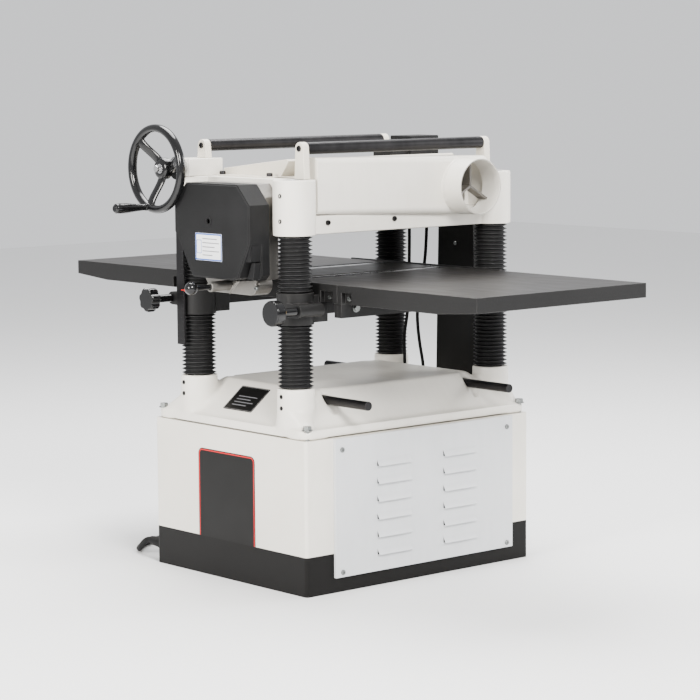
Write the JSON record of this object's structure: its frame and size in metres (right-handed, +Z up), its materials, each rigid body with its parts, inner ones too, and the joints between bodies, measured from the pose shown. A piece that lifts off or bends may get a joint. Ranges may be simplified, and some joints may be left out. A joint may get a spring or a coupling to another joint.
{
  "type": "thickness planer",
  "caption": "Four-post wood planer: louvred cabinet, lifting table with extensions on bellows-covered columns, planing head with handwheel, gearbox cover and dust port.",
  "frame": {"origin": "centre of the cabinet's bottom face, on the floor", "axes": "+Z up, +Y the feed direction towards the outfeed end, +X towards the gearbox and handwheel side"},
  "size_m": [0.919, 1.414, 1.023],
  "materials": {
    "white_paint": "satin, fine texture",
    "cream_paint": "satin",
    "white_sheet": "semi-gloss powder coat on sheet",
    "white_black_sheet": "semi-gloss powder coat, black lower band",
    "black_moulding": "fine texture",
    "black_paint": "satin",
    "cast_iron_dark": "ground top, painted sides",
    "ground_iron": "ground and polished",
    "bright_steel": "turned",
    "zinc_bolt": "zinc plated",
    "dark_steel": "blackened",
    "bronze": "machined",
    "cast_aluminium": "as cast",
    "gloss_black": "polished",
    "bellows_rubber": "satin",
    "belt_rubber": "matt",
    "cord_rubber": "matt",
    "start_green": "moulded",
    "stop_red": "moulded",
    "pointer_red": "gloss",
    "motor_paint": "satin"
  },
  "bodies": {
    "frame": {"cabinet_shell": "white_black_sheet", "access_panel": "white_sheet", "sheet_screws": "zinc_bolt", "badge_plates": "black_paint", "base_casting": "white_paint", "base_bolts": "zinc_bolt", "guide_columns": "bright_steel", "motor": "motor_paint", "motor_mount": "black_paint", "drive_belts": "belt_rubber", "belt_guard": "black_paint", "sync_chain": "dark_steel", "head_casting": "white_paint", "head_cover": "cream_paint", "head_bolts": "zinc_bolt", "handwheel_bracket": "white_paint", "roller_lugs": "cream_paint", "dust_hood": "white_paint", "gearbox_casting": "cast_aluminium", "gearbox_cover": "black_moulding", "height_scale": "dark_steel", "switch_box": "black_moulding", "head_cables": "cord_rubber", "cord_gland": "cord_rubber", "mains_cord": "cord_rubber", "cord_coil": "cord_rubber", "mains_plug": "black_moulding", "upper_bellows": "bellows_rubber", "lower_bellows": "bellows_rubber"},
    "handwheel_set": {"handwheel_shaft": "bright_steel", "handwheel": "gloss_black"},
    "handle": {"handwheel_handle": "gloss_black"},
    "table": {"table_casting": "ground_iron", "infeed_extension": "ground_iron", "outfeed_extension": "ground_iron", "height_pointer": "pointer_red", "lift_nuts": "bronze"},
    "bed_roller_a": {"bed_roller_front": "bright_steel"},
    "bed_roller_b": {"bed_roller_rear": "bright_steel"},
    "knob_front": {"lock_knob_front": "gloss_black"},
    "knob_rear": {"lock_knob_rear": "gloss_black"},
    "screw_front_right": {"lead_screw_front_right": "bright_steel"},
    "screw_rear_right": {"lead_screw_rear_right": "bright_steel"},
    "screw_front_left": {"lead_screw_front_left": "bright_steel"},
    "screw_rear_left": {"lead_screw_rear_left": "bright_steel"},
    "cutter": {"cutterhead": "bright_steel"},
    "motor_rotor": {"motor_pulley": "dark_steel"},
    "feed_in": {"infeed_roller": "dark_steel"},
    "feed_out": {"outfeed_roller": "bright_steel"},
    "breaker": {"chip_breaker": "dark_steel"},
    "fingers": {"kickback_fingers": "dark_steel"},
    "shifter": {"shift_lever": "gloss_black"},
    "return_a": {"return_roller_front": "dark_steel"},
    "return_b": {"return_roller_rear": "dark_steel"},
    "start": {"start_button": "start_green"},
    "stop": {"stop_button": "stop_red"},
    "bar_front_right": {"lifting_bar_front_right": "dark_steel"},
    "bar_rear_right": {"lifting_bar_rear_right": "dark_steel"},
    "bar_front_left": {"lifting_bar_front_left": "dark_steel"},
    "bar_rear_left": {"lifting_bar_rear_left": "dark_steel"}
  },
  "joints": [
    {"name": "handwheel_turn", "type": "hinge", "parent": "frame", "child": "handwheel_set", "pos_m": [0.399, -0.1575, 0.923], "axis": [1, 0, 0], "range_deg": [-7390, 6850]},
    {"name": "handle_spin", "type": "hinge", "parent": "handwheel_set", "child": "handle", "pos_m": [0.439, -0.18562, 0.83645], "axis": [1, 0, 0], "continuous": true},
    {"name": "table_lift", "type": "slide", "parent": "frame", "child": "table", "axis": [0, 0, 1], "range_m": [-0.1025, 0.095], "deforming": ["lower_bellows", "upper_bellows"]},
    {"name": "screw_front_right_turn", "type": "hinge", "parent": "frame", "child": "screw_front_right", "pos_m": [0.296, -0.1575, 0.5], "axis": [0, 0, 1], "range_deg": [-7400, 6860]},
    {"name": "screw_rear_right_turn", "type": "hinge", "parent": "frame", "child": "screw_rear_right", "pos_m": [0.296, 0.1895, 0.5], "axis": [0, 0, 1], "range_deg": [-7400, 6860]},
    {"name": "screw_front_left_turn", "type": "hinge", "parent": "frame", "child": "screw_front_left", "pos_m": [-0.296, -0.1575, 0.5], "axis": [0, 0, 1], "range_deg": [-7400, 6860]},
    {"name": "screw_rear_left_turn", "type": "hinge", "parent": "frame", "child": "screw_rear_left", "pos_m": [-0.296, 0.1895, 0.5], "axis": [0, 0, 1], "range_deg": [-7400, 6860]},
    {"name": "cutterhead_spin", "type": "hinge", "parent": "frame", "child": "cutter", "pos_m": [0, 0.016, 0.82], "axis": [1, 0, 0], "continuous": true},
    {"name": "motor_spin", "type": "hinge", "parent": "frame", "child": "motor_rotor", "pos_m": [-0.36, 0.016, 0.17], "axis": [1, 0, 0], "continuous": true},
    {"name": "infeed_roller_spin", "type": "hinge", "parent": "frame", "child": "feed_in", "pos_m": [0, -0.08, 0.809], "axis": [1, 0, 0], "continuous": true},
    {"name": "outfeed_roller_spin", "type": "hinge", "parent": "frame", "child": "feed_out", "pos_m": [0, 0.106, 0.809], "axis": [1, 0, 0], "continuous": true},
    {"name": "chip_breaker_lift", "type": "hinge", "parent": "frame", "child": "breaker", "pos_m": [0, -0.046, 0.883], "axis": [1, 0, 0], "range_deg": [0, 4], "stiffness_Nm_per_rad": 40, "springref_deg": -2.86},
    {"name": "finger_swing", "type": "hinge", "parent": "frame", "child": "fingers", "pos_m": [0, -0.1415, 0.83], "axis": [1, 0, 0], "range_deg": [-2, 18]},
    {"name": "bed_roller_front_spin", "type": "hinge", "parent": "table", "child": "bed_roller_a", "pos_m": [0, -0.11, 0.6584], "axis": [1, 0, 0], "continuous": true},
    {"name": "bed_roller_rear_spin", "type": "hinge", "parent": "table", "child": "bed_roller_b", "pos_m": [0, 0.085, 0.6584], "axis": [1, 0, 0], "continuous": true},
    {"name": "return_roller_front_spin", "type": "hinge", "parent": "frame", "child": "return_a", "pos_m": [0, -0.1575, 0.972], "axis": [1, 0, 0], "continuous": true},
    {"name": "return_roller_rear_spin", "type": "hinge", "parent": "frame", "child": "return_b", "pos_m": [0, 0.1895, 0.972], "axis": [1, 0, 0], "continuous": true},
    {"name": "lock_knob_front_turn", "type": "hinge", "parent": "table", "child": "knob_front", "pos_m": [0.356, -0.2075, 0.624], "axis": [1, 0, 0], "range_deg": [0, 180]},
    {"name": "lock_knob_rear_turn", "type": "hinge", "parent": "table", "child": "knob_rear", "pos_m": [0.356, 0.2395, 0.624], "axis": [1, 0, 0], "range_deg": [0, 180]},
    {"name": "feed_shift", "type": "slide", "parent": "frame", "child": "shifter", "axis": [1, 0, 0], "range_m": [-0.02, 0.02]},
    {"name": "start_press", "type": "slide", "parent": "frame", "child": "start", "axis": [0, 1, 0], "range_m": [0, 0.002], "stiffness_N_per_m": 400},
    {"name": "stop_press", "type": "slide", "parent": "frame", "child": "stop", "axis": [0, 1, 0], "range_m": [0, 0.004], "stiffness_N_per_m": 400},
    {"name": "bar_front_right_slide", "type": "slide", "parent": "frame", "child": "bar_front_right", "axis": [0, -1, 0], "range_m": [-0.11, 0]},
    {"name": "bar_rear_right_slide", "type": "slide", "parent": "frame", "child": "bar_rear_right", "axis": [0, 1, 0], "range_m": [-0.11, 0]},
    {"name": "bar_front_left_slide", "type": "slide", "parent": "frame", "child": "bar_front_left", "axis": [0, -1, 0], "range_m": [-0.11, 0]},
    {"name": "bar_rear_left_slide", "type": "slide", "parent": "frame", "child": "bar_rear_left", "axis": [0, 1, 0], "range_m": [-0.11, 0]}
  ],
  "couplings": [
    {"joint": "handwheel_turn", "follows": "table_lift", "rad_per_m": 1256.6},
    {"joint": "screw_front_right_turn", "follows": "table_lift", "rad_per_m": 1256.6},
    {"joint": "screw_rear_right_turn", "follows": "table_lift", "rad_per_m": 1256.6},
    {"joint": "screw_front_left_turn", "follows": "table_lift", "rad_per_m": 1256.6},
    {"joint": "screw_rear_left_turn", "follows": "table_lift", "rad_per_m": 1256.6},
    {"joint": "motor_spin", "follows": "cutterhead_spin", "ratio": 0.69355},
    {"joint": "outfeed_roller_spin", "follows": "infeed_roller_spin", "ratio": 1}
  ]
}
